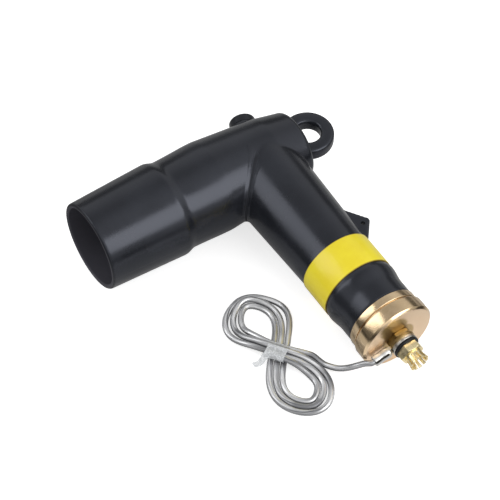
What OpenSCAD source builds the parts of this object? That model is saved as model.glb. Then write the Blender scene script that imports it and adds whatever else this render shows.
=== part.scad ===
// Elbow surge arrester for a 200 A bushing, lying on its side, with its earth lead in a hank.
// The bushing arm points along -X, the arrester arm along -Y, and +Z is up from the surface.

/* [Bushing arm] */
// Distance from the elbow's centre to the mouth
mouth_reach = 140; // [128:1:155]
// Outer radius of the cuff at the mouth
mouth_r = 33.5; // [32.5:0.5:35.5]
// Radius of the cuff's bore, which slides over the bushing's collar
cuff_bore_r = 30; // [28:0.5:30.5]
// Depth of the cuff's bore
cuff_depth = 20; // [14:1:24]
// Distance from the mouth to the cuff's shoulder
cuff_len = 61.5; // [50:0.5:66]
// Outer radius of the cuff at its shoulder
shoulder_r = 36; // [35:0.5:39]
// Length over which the shoulder steps down to the waist
shoulder_run = 8; // [5:1:12]
// Radius of the waist behind the shoulder
waist_r = 33.9; // [33:0.1:35]
// Distance from the elbow's centre to the arm's belly
belly_at = 38; // [32:1:46]
// Radius of the belly
belly_r = 35; // [34:0.5:37]
// Distance behind the elbow's centre where the boss starts to taper
hip_at = 12; // [8:1:18]
// Radius where the boss starts to taper
hip_r = 30.6; // [30:0.1:31.5]
// Distance from the elbow's centre to the boss's end face
boss_reach = 36.5; // [35:0.5:38]
// Radius of the boss at its end
boss_r = 26.6; // [25:0.2:28]
// Radius of the boss's rounded rim
boss_edge_r = 5; // [1:0.5:6]
// Rubber between the boss's end face and the insulation
boss_wall = 9; // [8.5:0.5:10]

/* [Arrester arm] */
// Radius of the arrester arm at the elbow's centre
root_r = 30.9; // [30:0.1:31]
// Radius of the arm where it holds the label
arm_r = 27.2; // [26.5:0.1:28]
// Distance from the elbow's centre to the label's upper edge
label_from = 104.5; // [98:0.5:110]
// Width of the label
label_width = 27; // [20:1:30]
// Thickness of the label
label_wall = 0.7; // [0.4:0.1:1]
// Radius of the bulge below the label
bulge_r = 28; // [27.6:0.1:28.4]
// Radius of the arm's hem, where it meets the end cap
hem_r = 26.4; // [25.8:0.1:27]
// Length of the hem
hem_len = 12; // [10:1:14]
// Distance from the elbow's centre to the arm's end
arm_reach = 160; // [158:1:168]
// Thickness of the conductive jacket
jacket_wall = 3.2; // [2.6:0.1:3.4]
// Height of the bead along the crease between the arms
crease_bead = 1.2; // [0.6:0.1:1.6]

/* [Pulling eye] */
// Distance from the elbow's centre to the eye's centre
eye_at = 48; // [47:0.5:52]
// Distance of the eye's centre from the bushing arm's axis, away from the arrester arm
eye_side = 1.5; // [0:0.5:3]
// Outer radius of the eye
eye_r = 19.6; // [18.5:0.1:21]
// Radius of the eye's hole
eye_hole_r = 9.6; // [9:0.1:10.4]
// Thickness of the eye
eye_thick = 11; // [9:0.5:13]
// Radius of the eye's rounded edges
eye_edge_r = 2.6; // [1:0.2:3]
// Radius of the steel core's wire
core_wire_r = 2.2; // [1.6:0.1:2.4]

/* [Drain tab and test point] */
// Distance from the elbow's centre to the tab's upper end
tab_from = 63.5; // [60:0.5:72]
// Distance from the elbow's centre to the tab's lower end
tab_to = 103; // [96:1:103]
// Distance from the elbow's centre to the tab's tip
tab_tip_at = 87; // [82:1:92]
// Distance from the arm's axis to the tab's tip
tab_reach = 41; // [36:0.5:44]
// Thickness of the tab
tab_thick = 6; // [4:0.5:8]
// Radius of the tab's wire hole
tab_hole_r = 1.6; // [1:0.1:1.8]
// Distance from the tab's tip to its wire hole
tab_hole_inset = 6.5; // [5:0.5:7]
// Turn of the test point's axis from the elbow's back towards the eye
test_turn = 20; // [15:1:21]
// Outer radius of the test point cap
test_cap_r = 10; // [9:0.5:11]
// Height of the test point cap
test_cap_h = 7; // [5:0.2:9]
// Distance from the elbow's centre to the cap's seat
test_seat = 34.6; // [34.4:0.1:36]
// Radius of the jacket's neck inside the cap
test_neck_r = 6.8; // [6.2:0.1:7.4]
// Height of the neck above the cap's seat
test_neck_h = 2.6; // [2:0.2:3]
// Radius of the insulation plug in the neck
test_plug_r = 4.8; // [4:0.1:5.4]
// Radius of the test electrode
test_pin_r = 2.4; // [1.6:0.1:3]

/* [Inside] */
// Radius of the bushing cavity at its open end
cavity_r = 25.5; // [24:0.5:26.5]
// Radius of the bushing cavity at its inner end
cavity_end_r = 17.6; // [16.5:0.1:18.5]
// Distance from the elbow's centre to the conductive insert's front
insert_front = 50; // [46:1:54]
// Outer radius of the insert round the probe
insert_r = 22.5; // [21.5:0.5:23.5]
// Outer radius of the insert round the disc column
insert_column_r = 20.5; // [20:0.1:21.5]
// Distance from the elbow's centre to the insert's lower end
insert_low = 58; // [52:1:64]
// Radius of the contact block
block_r = 12; // [10.5:0.5:13]
// Distance from the elbow's centre to the probe's seat on the block
probe_seat = 14; // [13.5:0.5:16]
// Radius of the probe
probe_r = 5.55; // [5:0.05:6]
// Width across the flats of the probe's shoulder
probe_hex = 15; // [13:0.5:17]
// Length of the probe's shoulder
probe_hex_len = 6; // [4:0.5:8]
// Radius of the probe's threaded tail
probe_tail_r = 4; // [3.5:0.1:4.5]
// Radius of the arc follower's tang inside the probe
tang_r = 3; // [2:0.1:3.5]
// Length of the arc follower's tang
tang_len = 8; // [5:0.5:10]
// Distance from the mouth to the probe's tip
probe_recess = 32; // [28:1:36]
// Length of the arc follower at the probe's tip
follower_len = 16; // [12:1:20]
// Radius of the arc follower
follower_r = 5.3; // [4.6:0.1:5.5]
// Radius of the varistor discs
disc_r = 16; // [15:0.5:16.5]
// Thickness of one varistor disc
disc_len = 20; // [19:0.5:20.5]
// Distance from the elbow's centre to the first disc
column_from = 42; // [40:0.5:44]
// Wall of the glass-fibre tube round the discs
tube_wall = 2.3; // [1.6:0.1:2.4]
// Thickness of the upper electrode on the contact block
upper_len = 8; // [6:0.5:10]
// Thickness of the lower electrode
lower_len = 7; // [5:0.5:8]
// Height of one disc spring
spring_h = 4; // [3:0.5:5]
// Gap between the tube's end and the springs' seat in the cap
slot_below_seat = 2; // [1:0.5:3]
// Thickness of the gasket under the cap
gasket_len = 1; // [0.5:0.1:2]

/* [End cap and stud] */
// Radius of the cap's ring next to the rubber
cap_ring_r = 26.9; // [26:0.1:28]
// Length of the ring next to the rubber
cap_ring_len = 6; // [4:0.5:8]
// Width of the groove between the cap's rings
cap_groove = 1.4; // [0.8:0.1:2.5]
// Depth of the groove below the ring next to the rubber
cap_groove_depth = 1.1; // [0.5:0.1:1.6]
// Radius of the cap's front ring
cap_r = 28.3; // [27.5:0.1:29]
// Overall length of the cap outside the rubber
cap_len = 19.3; // [17:0.1:22]
// Size of the chamfer round the cap's face
cap_chamfer = 1.5; // [0.5:0.1:2.5]
// Depth of the cap's spigot in the arm
spigot_len = 9; // [7:0.5:10]
// Radius of the earth stud's thread
stud_r = 5; // [4:0.5:6]
// Width across the flats of the nut on the cap
nut_width = 17; // [15:0.5:19]
// Thickness of the nut on the cap
nut_len = 3.7; // [3:0.1:6]
// Thickness of the lug's ring
lug_thick = 2.2; // [1.5:0.1:3]
// Radius of the lug's ring
lug_ring_r = 9.8; // [9:0.1:11]
// Radius of the lug's crimp barrel
barrel_r = 4; // [3.2:0.1:4.2]
// Length of the crimp barrel
barrel_len = 13; // [9:0.5:13.5]
// Distance from the stud's axis to the barrel's end
lug_reach = 24; // [24:0.5:27]
// Angle of the lug below the horizontal
lug_drop = 13; // [4:1:20]
// Thickness of the washer
washer_len = 3; // [1:0.1:4]
// Thickness of the rubber sealing ring
seal_len = 2; // [1.8:0.1:3.2]
// Outer radius of the sealing ring
seal_r = 9.6; // [9:0.1:10.5]
// Width across the flats of the stud's collar
collar_width = 16; // [14:0.5:18]
// Length of the stud's collar
collar_len = 6.5; // [5:0.5:9]
// Length of the contact fingers
finger_len = 7.5; // [6:0.5:12]
// Radius of the finger ring at its root
finger_r = 6.5; // [6:0.1:7]
// Thickness of the fingers
finger_wall = 1.6; // [1.2:0.1:2.4]
// Flare of the fingers at their tips
finger_flare = 0.9; // [0.4:0.1:1.4]
// Number of contact fingers
finger_count = 12; // [6:1:14]
// Width of the slots between the fingers
finger_slot = 1.2; // [0.8:0.1:1.4]

/* [Earth lead] */
// Diameter of the earth lead
lead_d = 4.4; // [3.6:0.1:4.6]
// Depth of the lead in the lug's barrel
crimp_depth = 9; // [7:0.5:11]
// Thickness of the hank
hank_h = 10; // [9:0.5:14]
// Half the width of the hank's bundle
hank_bundle = 7.2; // [6.6:0.1:7.3]
// Length of the tie across the hank
tie_len = 18; // [14:0.5:20]
// Width of the tie
tie_width = 5; // [3:0.5:7]
// Thickness of the tie
tie_wall = 1.2; // [0.8:0.1:1.6]

/* [Clearances] */
// Gap between pieces that slide together
slide_gap = 0.1; // [0.05:0.05:0.2]
// Gap between loose pieces on the stud
loose_gap = 0.2; // [0.1:0.05:0.4]

/* [Hidden] */
$fn = 96;

// The cuff's shoulder is the widest ring of the bushing arm, so it sets the height of the axis.
axis_h = shoulder_r;
cuff_end = mouth_reach - cuff_depth;
shoulder_at = mouth_reach - cuff_len;
waist_at = shoulder_at - shoulder_run;
label_to = label_from + label_width;
hem_from = arm_reach - hem_len;
rod_to = mouth_reach - probe_recess - follower_len;
tail_from = 3;
block_back = block_r + 4;
insert_back = block_back + 4;
cap_face = arm_reach + cap_len;
spigot_face = arm_reach - spigot_len;
spigot_r = hem_r - jacket_wall - slide_gap;
insulation_end = spigot_face - gasket_len;
tube_in_r = disc_r + slide_gap;
tube_r = tube_in_r + tube_wall;
tube_from = column_from - upper_len;
column_to = column_from + 5 * disc_len;
lower_to = column_to + lower_len;
spring_to = lower_to + 2 * spring_h;
tube_to = spring_to - slot_below_seat;
lug_from = cap_face + nut_len;
washer_from = lug_from + lug_thick;
seal_from = washer_from + washer_len;
collar_from = seal_from + seal_len;
fingers_from = collar_from + collar_len;
stud_tip = fingers_from + finger_len;
flare_from = fingers_from + 3;
finger_tip_r = finger_r + finger_flare;
finger_bore_r = finger_r - finger_wall;
shank_from = spring_to + 3;
hole_clear_r = stud_r + loose_gap;

// The elbow lies on its cuff's shoulder and on the cap's front ring, so the arrester arm dips.
cap_rim_at = cap_face - cap_chamfer;
lie_tilt = asin(axis_h / norm([cap_rim_at, cap_r])) - atan2(cap_r, cap_rim_at);

// The frame's origin is on the surface, below the middle of the elbow without its lead.
test_top = test_seat + test_cap_h;
test_edge_r = 1.8;
elbow_x = (mouth_reach - eye_at - eye_r) / 2;
y_low = stud_tip * cos(lie_tilt) + finger_tip_r * sin(lie_tilt);
cap_lean = cos(test_turn) * cos(lie_tilt);
cap_flat_r = test_cap_r - test_edge_r;
y_high = test_edge_r + (test_top - test_edge_r) * cap_lean + cap_flat_r * sqrt(1 - cap_lean ^ 2);
elbow_y = (y_low - y_high) / 2;

// Point in the frame's own coordinates of a point measured from the elbow's centre.
function placed(p) = [elbow_x + p[0], elbow_y + p[1] * cos(lie_tilt) - p[2] * sin(lie_tilt),
    axis_h + p[1] * sin(lie_tilt) + p[2] * cos(lie_tilt)];

// Point on the axis of the lug's barrel at a distance from the stud's axis.
function barrel_point(r) = placed([-r * cos(lug_drop), -lug_from - lug_thick / 2, -r * sin(lug_drop)]);

// Points of the earth lead from the barrel's mouth to the hank: across and along, and up from the surface.
lead_steps = [[-5, 3.4, 20.3], [-7.9, 6.4, 17.1], [-10.5, 9.3, 13.8], [-12.7, 12.2, 10.7], [-15, 15.3, 8.1],
    [-17.3, 18.8, 6], [-19.6, 23.2, 4.4], [-22, 29, 3.3], [-24.4, 34.5, 2.9]];
lead_mouth = barrel_point(lug_reach);
lead_route = concat([barrel_point(lug_reach - crimp_depth), lead_mouth, barrel_point(lug_reach + 2)],
    [for (p = lead_steps) [lead_mouth[0] + p[0], lead_mouth[1] + p[1], p[2]]]);

// The hank's middle, its turn on the surface and the half sizes of its figure of eight.
hank_shift = [-42.3, 53.5];
hank_centre = [lead_mouth[0] + hank_shift[0], lead_mouth[1] + hank_shift[1]];
hank_turn = -4.5;
hank_lobe = 50;
hank_half = 15.3;
hank_sides = 24;

// A smooth step from 0 to 1.
function ease(t) = t * t * (3 - 2 * t);

// Stations of a smooth step between two radii, as [distance, radius] pairs without the first one.
function step_down(z0, r0, z1, r1, n) =
    [for (i = [1 : n]) [z0 + (z1 - z0) * i / n, r0 + (r1 - r0) * ease(i / n)]];

// Points of an arc, as [distance, radius] pairs.
function arc(z, r, radius, a0, a1, n) =
    [for (i = [0 : n]) [z + radius * cos(a0 + (a1 - a0) * i / n), r + radius * sin(a0 + (a1 - a0) * i / n)]];

// Solid of revolution about +Z from [distance, radius] pairs in rising order of distance.
module turned(outline) {
    last = len(outline) - 1;
    rotate_extrude()
        polygon(concat([[0, outline[0][0]]], [for (p = outline) [p[1], p[0]]], [[0, outline[last][0]]]));
}

// Ring of revolution about +Z from the corners of its section, as [distance, radius] pairs.
module turned_ring(section) {
    rotate_extrude()
        polygon([for (p = section) [p[1], p[0]]]);
}

// Hexagonal prism with a given width across its flats.
module hexagon(width, height) {
    cylinder(r = width / sqrt(3), h = height, $fn = 6);
}

// Turns +Z along the bushing arm, towards the mouth.
module on_bushing_axis() {
    rotate([0, -90, 0]) children();
}

// Turns +Z along the arrester arm, towards the end cap.
module on_arrester_axis() {
    rotate([90, 0, 0]) children();
}

// Moves to the test point, with +Z pointing out of the elbow's back.
module at_test_point() {
    rotate([0, 0, -test_turn]) rotate([-90, 0, 0]) children();
}

// Moves from the elbow's centre to its place on the surface.
module place() {
    translate([elbow_x, elbow_y, axis_h]) rotate([lie_tilt, 0, 0]) children();
}

// Outer surface of the bushing arm, from the boss's face to the mouth.
module bushing_arm() {
    lip_r = 1.2;
    slope = (shoulder_r - mouth_r) / cuff_len;
    turned(concat(
        arc(-boss_reach + boss_edge_r, boss_r - boss_edge_r, boss_edge_r, 180, 90, 5),
        [[-hip_at, hip_r], [belly_at, belly_r]],
        step_down(belly_at, belly_r, waist_at, waist_r, 4),
        step_down(waist_at, waist_r, shoulder_at, shoulder_r, 5),
        [[mouth_reach - lip_r, mouth_r + slope * lip_r]],
        [[mouth_reach - 0.3 * lip_r, mouth_r - 0.3 * lip_r], [mouth_reach, mouth_r - lip_r]]));
}

// Outer surface of the arrester arm.
module arrester_arm() {
    turned(concat(
        [[0, root_r], [label_from - 3, arm_r], [label_to, arm_r]],
        step_down(label_to, arm_r, label_to + 4, bulge_r, 3),
        step_down(label_to + 4, bulge_r, hem_from, hem_r, 4),
        [[arm_reach, hem_r]]));
}

// Everything inside the jacket, which the insulation fills apart from its own hollows.
module jacket_hollow() {
    w = jacket_wall;
    on_bushing_axis()
        turned([[boss_wall - boss_reach, boss_r - w], [-hip_at, hip_r - w], [belly_at, belly_r - w],
            [waist_at, waist_r - w], [shoulder_at, shoulder_r - w],
            [cuff_end, mouth_r + (shoulder_r - mouth_r) * cuff_depth / cuff_len - w]]);
    on_arrester_axis()
        turned([[0, root_r - w], [label_from - 3, arm_r - w], [label_to, arm_r - w], [hem_from, hem_r - w],
            [arm_reach, hem_r - w]]);
}

// Radius of the bushing arm between its hip and its belly.
function hip_line(z) = hip_r + (belly_r - hip_r) * (z + hip_at) / (belly_at + hip_at);

// Thin bead in the valley where the arrester arm leaves the bushing arm, which fades out on the crest.
module crease() {
    reach = 60;
    fade = 12;
    start_below = 0.6;
    intersection() {
        on_bushing_axis()
            turned([[0, hip_line(0) - start_below], [fade, hip_line(fade) + crease_bead],
                [belly_at, belly_r + crease_bead], [reach, belly_r + crease_bead]]);
        on_arrester_axis()
            turned([[0, root_r + crease_bead], [label_from - 3, arm_r + crease_bead]]);
    }
}

// The pulling eye's rounded ring, with its hole's axis along Z.
module eye_ring() {
    e = eye_edge_r;
    h = eye_thick / 2;
    translate([eye_at, eye_side, 0])
        turned_ring(concat(
            arc(e - h, eye_hole_r + e, e, 270, 180, 4),
            arc(e - h, eye_r - e, e, 180, 90, 4),
            arc(h - e, eye_r - e, e, 90, 0, 4),
            arc(h - e, eye_hole_r + e, e, 0, -90, 4)));
}

// Drain-wire tab on the outer side of the arrester arm.
module drain_tab() {
    tip_r = 3;
    inner = arm_r - jacket_wall / 2;
    difference() {
        translate([0, 0, -tab_thick / 2])
            linear_extrude(tab_thick)
                polygon(concat([[inner, -tab_from]],
                    [for (a = [60 : -15 : -15])
                        [tab_reach - tip_r + tip_r * cos(a), -tab_tip_at + tip_r * sin(a)]],
                    [[arm_r + 1.5, -tab_to], [inner, -tab_to]]));
        translate([tab_reach - tab_hole_inset, -tab_tip_at - 1, -tab_thick])
            cylinder(r = tab_hole_r, h = 2 * tab_thick);
    }
}

// Steel core of the pulling eye, with the short shank that seats on the insulation.
module core_shape() {
    ring_r = (eye_r + eye_hole_r) / 2;
    seat = boss_reach - boss_wall;
    translate([eye_at, eye_side, 0])
        rotate_extrude()
            translate([ring_r, 0]) circle(r = core_wire_r, $fn = 32);
    translate([seat, eye_side, 0])
        rotate([0, 90, 0])
            cylinder(r = core_wire_r, h = eye_at - ring_r - seat, $fn = 32);
}

// Conductive rubber jacket with its cuff, boss, pulling eye, drain tab and test point neck.
module elbow_jacket() {
    color("#2c2f36")
        place()
            difference() {
                union() {
                    on_bushing_axis() bushing_arm();
                    on_arrester_axis() arrester_arm();
                    crease();
                    eye_ring();
                    drain_tab();
                    at_test_point() {
                        translate([0, 0, test_seat / 2])
                            cylinder(r = test_cap_r + 0.5, h = test_seat / 2);
                        cylinder(r = test_neck_r, h = test_seat + test_neck_h);
                    }
                }
                jacket_hollow();
                on_bushing_axis()
                    translate([0, 0, cuff_end])
                        cylinder(r = cuff_bore_r, h = cuff_depth + 1);
                at_test_point()
                    cylinder(r = test_plug_r, h = test_seat + test_neck_h + 1);
                core_shape();
            }
}

// Moulded insulation with the tapered bushing cavity and its locking groove.
module elbow_insulation() {
    groove_inset = 7;
    groove_at = cuff_end - groove_inset;
    groove_w = 4;
    groove_d = 1.6;
    taper = (cavity_r - cavity_end_r) / (cuff_end - insert_front);
    color("#3a3d45")
        place()
            difference() {
                union() {
                    intersection() {
                        jacket_hollow();
                        translate([-2 * mouth_reach, -insulation_end, -mouth_reach])
                            cube([4 * mouth_reach, 2 * insulation_end, 2 * mouth_reach]);
                    }
                    at_test_point()
                        translate([0, 0, test_seat / 2])
                            cylinder(r = test_plug_r, h = test_seat / 2 + test_neck_h - 0.6);
                }
                on_bushing_axis() {
                    turned([[insert_front, cavity_end_r],
                        [groove_at - groove_w, cavity_end_r + taper * (groove_at - groove_w - insert_front)],
                        [groove_at - groove_w + 0.5, cavity_r + groove_d],
                        [groove_at - 0.5, cavity_r + groove_d],
                        [groove_at, cavity_end_r + taper * (groove_at - insert_front)],
                        [cuff_end + 1, cavity_r + taper]]);
                }
                insert_outer();
                on_arrester_axis()
                    cylinder(r = tube_r, h = arm_reach);
                test_pin(test_neck_h);
            }
}

// Outer surface of the conductive insert.
module insert_outer() {
    on_bushing_axis()
        translate([0, 0, -insert_back])
            cylinder(r = insert_r, h = insert_back + insert_front);
    on_arrester_axis()
        cylinder(r = insert_column_r, h = insert_low);
}

// Conductive rubber insert round the joint of the probe and the disc column.
module inner_insert() {
    color("#17181b")
        place()
            difference() {
                insert_outer();
                on_bushing_axis()
                    translate([0, 0, probe_seat])
                        cylinder(r = cavity_end_r, h = insert_front);
                block_shape();
                on_arrester_axis()
                    translate([0, 0, tube_from])
                        cylinder(r = tube_r, h = insert_low);
            }
}

// Outer shape of the contact block: its bar, the probe's boss and the upper electrode.
module block_shape() {
    on_arrester_axis() {
        translate([0, 0, -block_back])
            cylinder(r = block_r, h = block_back + tube_from + upper_len / 2);
        translate([0, 0, tube_from])
            cylinder(r = disc_r, h = upper_len);
    }
    on_bushing_axis()
        cylinder(r = block_r - 3, h = probe_seat);
}

// Contact block that joins the probe to the top of the disc column.
module contact_block() {
    color("#b87333")
        place()
            difference() {
                block_shape();
                on_bushing_axis()
                    translate([0, 0, tail_from])
                        cylinder(r = probe_tail_r, h = probe_seat);
            }
}

// Loadbreak probe with its threaded tail and its hexagonal shoulder.
module probe() {
    color("#c98b52")
        place()
            on_bushing_axis()
                difference() {
                    union() {
                        translate([0, 0, tail_from])
                            cylinder(r = probe_tail_r, h = probe_seat - tail_from);
                        translate([0, 0, probe_seat])
                            hexagon(probe_hex, probe_hex_len);
                        translate([0, 0, probe_seat])
                            cylinder(r = probe_r, h = rod_to - probe_seat);
                    }
                    translate([0, 0, rod_to - tang_len])
                        cylinder(r = tang_r, h = tang_len + 1);
                }
}

// Ablative tip of the probe, which quenches the arc.
module arc_follower() {
    nose_r = 2.5;
    color("#d8c9a8")
        place()
            on_bushing_axis()
                turned(concat(
                    [[rod_to - tang_len, tang_r], [rod_to, tang_r], [rod_to, follower_r]],
                    arc(rod_to + follower_len - nose_r, follower_r - nose_r, nose_r, 90, 0, 5)));
}

// One varistor disc with its chamfered rims, counted from the elbow.
module varistor_disc(i) {
    rim = 0.6;
    z0 = column_from + i * disc_len;
    color("#6b6e72")
        place()
            on_arrester_axis()
                turned([[z0, disc_r - rim], [z0 + rim, disc_r], [z0 + disc_len - rim, disc_r],
                    [z0 + disc_len, disc_r - rim]]);
}

// Glass-fibre tube that clamps the disc column together.
module column_tube() {
    color("#c7b26a")
        place()
            on_arrester_axis()
                turned_ring([[tube_from, tube_in_r], [tube_from, tube_r],
                    [tube_to, tube_r], [tube_to, tube_in_r]]);
}

// Electrode below the last disc.
module lower_electrode() {
    color("#c4c7cb")
        place()
            on_arrester_axis()
                translate([0, 0, column_to])
                    cylinder(r = disc_r - slide_gap, h = lower_len);
}

// One conical disc spring: the second one faces the first.
module disc_spring(i) {
    wall = 1.5;
    in_r = 6.5;
    out_r = disc_r - 2;
    color("#9aa0a6")
        place()
            on_arrester_axis()
                translate([0, 0, lower_to + spring_h])
                    mirror([0, 0, i == 0 ? 1 : 0])
                        turned_ring([[0, out_r], [wall, out_r], [spring_h, in_r], [spring_h - wall, in_r]]);
}

// Rubber gasket between the insulation and the cap's spigot.
module cap_gasket() {
    color("#1b1c1f")
        place()
            on_arrester_axis()
                turned_ring([[insulation_end, tube_r + slide_gap], [insulation_end, spigot_r],
                    [spigot_face, spigot_r], [spigot_face, tube_r + slide_gap]]);
}

// Turned brass end cap with its spigot, two rings and chamfered face.
module end_cap() {
    ring_end = arm_reach + cap_ring_len;
    rear = 0.5;
    color("#c9ad6a")
        place()
            on_arrester_axis()
                difference() {
                    turned([[spigot_face, spigot_r], [arm_reach, spigot_r], [arm_reach, cap_ring_r - rear],
                        [arm_reach + rear, cap_ring_r], [ring_end, cap_ring_r],
                        [ring_end, cap_ring_r - cap_groove_depth],
                        [ring_end + cap_groove, cap_ring_r - cap_groove_depth],
                        [ring_end + cap_groove, cap_r - rear], [ring_end + cap_groove + rear, cap_r],
                        [cap_rim_at, cap_r], [cap_face, cap_r - cap_chamfer]]);
                    translate([0, 0, spigot_face - 1])
                        cylinder(r = tube_r + slide_gap, h = spring_to - spigot_face + 1);
                    cylinder(r = stud_r, h = cap_face + 1);
                }
}

// Hexagonal nut that locks the stud in the cap.
module cap_nut() {
    color("#bfa565")
        place()
            on_arrester_axis()
                translate([0, 0, cap_face])
                    difference() {
                        hexagon(nut_width, nut_len);
                        translate([0, 0, -1])
                            cylinder(r = stud_r, h = nut_len + 2);
                    }
}

// Crimp lug on the stud: a ring, a tongue and the barrel that grips the lead.
module ground_lug() {
    barrel_from = lug_reach - barrel_len;
    color("#c9ccd0")
        place()
            on_arrester_axis()
                translate([0, 0, lug_from])
                    rotate([0, 0, 180 + lug_drop])
                        difference() {
                            union() {
                                cylinder(r = lug_ring_r, h = lug_thick);
                                translate([0, -barrel_r, 0])
                                    cube([barrel_from + 2, 2 * barrel_r, lug_thick]);
                                translate([barrel_from, 0, lug_thick / 2])
                                    rotate([0, 90, 0])
                                        cylinder(r = barrel_r, h = barrel_len);
                            }
                            translate([0, 0, -barrel_r])
                                cylinder(r = hole_clear_r, h = 3 * barrel_r);
                            translate([lug_reach - crimp_depth, 0, lug_thick / 2])
                                rotate([0, 90, 0])
                                    cylinder(r = lead_d / 2, h = crimp_depth + 1);
                        }
}

// Flat washer on the lug.
module lug_washer() {
    color("#d3d5d8")
        place()
            on_arrester_axis()
                turned_ring([[washer_from, hole_clear_r], [washer_from, lug_ring_r], [seal_from, lug_ring_r],
                    [seal_from, hole_clear_r]]);
}

// Rubber sealing ring under the stud's collar.
module stud_seal() {
    e = 0.8;
    color("#141414")
        place()
            on_arrester_axis()
                turned_ring(concat(
                    [[seal_from, hole_clear_r]],
                    arc(seal_from + e, seal_r - e, e, 180, 90, 3),
                    arc(collar_from - e, seal_r - e, e, 90, 0, 3),
                    [[collar_from, hole_clear_r]]));
}

// Brass earth stud: a threaded shank, a hexagonal collar and a ring of slotted fingers.
module earth_stud() {
    chamfer = 0.8;
    color("#d2b45c")
        place()
            on_arrester_axis() {
                translate([0, 0, shank_from])
                    cylinder(r = stud_r, h = fingers_from - shank_from);
                intersection() {
                    translate([0, 0, collar_from])
                        hexagon(collar_width, collar_len);
                    turned([[collar_from, collar_width / 2], [collar_from + chamfer, collar_width / sqrt(3)],
                        [fingers_from - chamfer, collar_width / sqrt(3)], [fingers_from, collar_width / 2]]);
                }
                difference() {
                    turned([[fingers_from - 1, finger_r], [flare_from, finger_r], [stud_tip, finger_tip_r]]);
                    turned([[fingers_from + 1, finger_bore_r], [flare_from, finger_bore_r],
                        [stud_tip + 1, finger_tip_r - finger_wall + finger_flare / (stud_tip - flare_from)]]);
                    for (i = [0 : finger_count - 1])
                        rotate([0, 0, 360 * i / finger_count])
                            translate([0, -finger_slot / 2, fingers_from + 2])
                                cube([2 * finger_r, finger_slot, finger_len]);
                }
            }
}

// Yellow sleeve label round the arrester arm.
module label_band() {
    color("#f2df35")
        place()
            on_arrester_axis()
                turned_ring([[label_from, arm_r], [label_from, arm_r + label_wall],
                    [label_to, arm_r + label_wall], [label_to, arm_r]]);
}

// Steel core of the pulling eye.
module eye_core() {
    color("#8d9196")
        place()
            core_shape();
}

// Shape of the test electrode, with its outer end at a given height above the cap's seat.
module test_pin(height) {
    from = (insert_r + 2) / cos(test_turn);
    at_test_point()
        translate([0, 0, from])
            cylinder(r = test_pin_r, h = test_seat + height - from);
}

// Capacitive test electrode in the insulation plug.
module test_electrode() {
    color("#b9bcc0")
        place()
            test_pin(test_neck_h);
}

// Push-on rubber cap over the test point.
module test_cap() {
    roof = test_neck_h + 0.6;
    color("#26282d")
        place()
            at_test_point()
                difference() {
                    turned(concat([[test_seat, test_cap_r]],
                        arc(test_top - test_edge_r, test_cap_r - test_edge_r, test_edge_r, 90, 0, 5)));
                    translate([0, 0, test_seat - 1])
                        cylinder(r = test_neck_r + slide_gap, h = roof + 1);
                }
}

// Unit vector along a route at a point.
function route_dir(route, i) =
    let (a = route[max(i - 1, 0)], b = route[min(i + 1, len(route) - 1)])
    (b - a) / norm(b - a);

// Ring of points round a route's point, level with the surface on its sides.
function route_ring(route, i, radius, sides) =
    let (d = route_dir(route, i), u = cross([0, 0, 1], d) / norm(cross([0, 0, 1], d)), v = cross(d, u))
    [for (k = [0 : sides - 1])
        route[i] + radius * (cos(360 * k / sides) * u + sin(360 * k / sides) * v)];

// Tube swept along a route, closed at both ends.
module tube_along(route, radius, sides) {
    n = len(route);
    points = [for (i = [0 : n - 1]) each route_ring(route, i, radius, sides)];
    walls = [for (i = [0 : n - 2]) for (k = [0 : sides - 1])
        [i * sides + k, (i + 1) * sides + k, (i + 1) * sides + (k + 1) % sides, i * sides + (k + 1) % sides]];
    start = [for (k = [0 : sides - 1]) k];
    end = [for (k = [sides - 1 : -1 : 0]) (n - 1) * sides + k];
    polyhedron(points, concat([start], walls, [end]), convexity = 6);
}

// Point of the hank's figure of eight at an angle from its crossing.
function eight(t) = [hank_half * (sin(2 * t) + 0.15 * sin(4 * t)), hank_lobe * sin(t)];

// One lobe of the hank's outline, widened by half its bundle.
module hank_lobe_outline(from) {
    offset(r = hank_bundle)
        polygon([for (i = [0 : hank_sides]) eight(from + 180 * i / hank_sides)]);
}

// Outer shape of the lead wound into a figure of eight.
module hank_shape() {
    translate([hank_centre[0], hank_centre[1], 0])
        rotate([0, 0, hank_turn])
            linear_extrude(hank_h) {
                hank_lobe_outline(0);
                hank_lobe_outline(180);
            }
}

// Earth lead from the lug to the hank, where it ends on the hank's side.
module earth_lead() {
    color("#b4b6bb")
        difference() {
            tube_along(lead_route, lead_d / 2, 10);
            hank_shape();
        }
}

// Hank of the earth lead.
module lead_hank() {
    color("#a5a8ae")
        hank_shape();
}

// Clear tie round the hank's crossing.
module hank_tie() {
    color("#dfe3e6")
        translate([hank_centre[0], hank_centre[1], hank_h])
            rotate([0, 0, hank_turn])
                translate([-tie_len / 2, -tie_width / 2, 0])
                    cube([tie_len, tie_width, tie_wall]);
}

elbow_jacket();
elbow_insulation();
inner_insert();
contact_block();
probe();
arc_follower();
varistor_disc(0);  // varistor_disc_1
varistor_disc(1);  // varistor_disc_2
varistor_disc(2);  // varistor_disc_3
varistor_disc(3);  // varistor_disc_4
varistor_disc(4);  // varistor_disc_5
column_tube();
lower_electrode();
disc_spring(0);  // disc_spring_1
disc_spring(1);  // disc_spring_2
cap_gasket();
end_cap();
cap_nut();
ground_lug();
lug_washer();
stud_seal();
earth_stud();
label_band();
eye_core();
test_electrode();
test_cap();
earth_lead();
lead_hank();
hank_tie();
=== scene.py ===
"""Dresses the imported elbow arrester: moulded rubber, turned brass, a yellow band and the earth lead."""
import math

import bpy
from mathutils import Matrix, Vector


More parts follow.
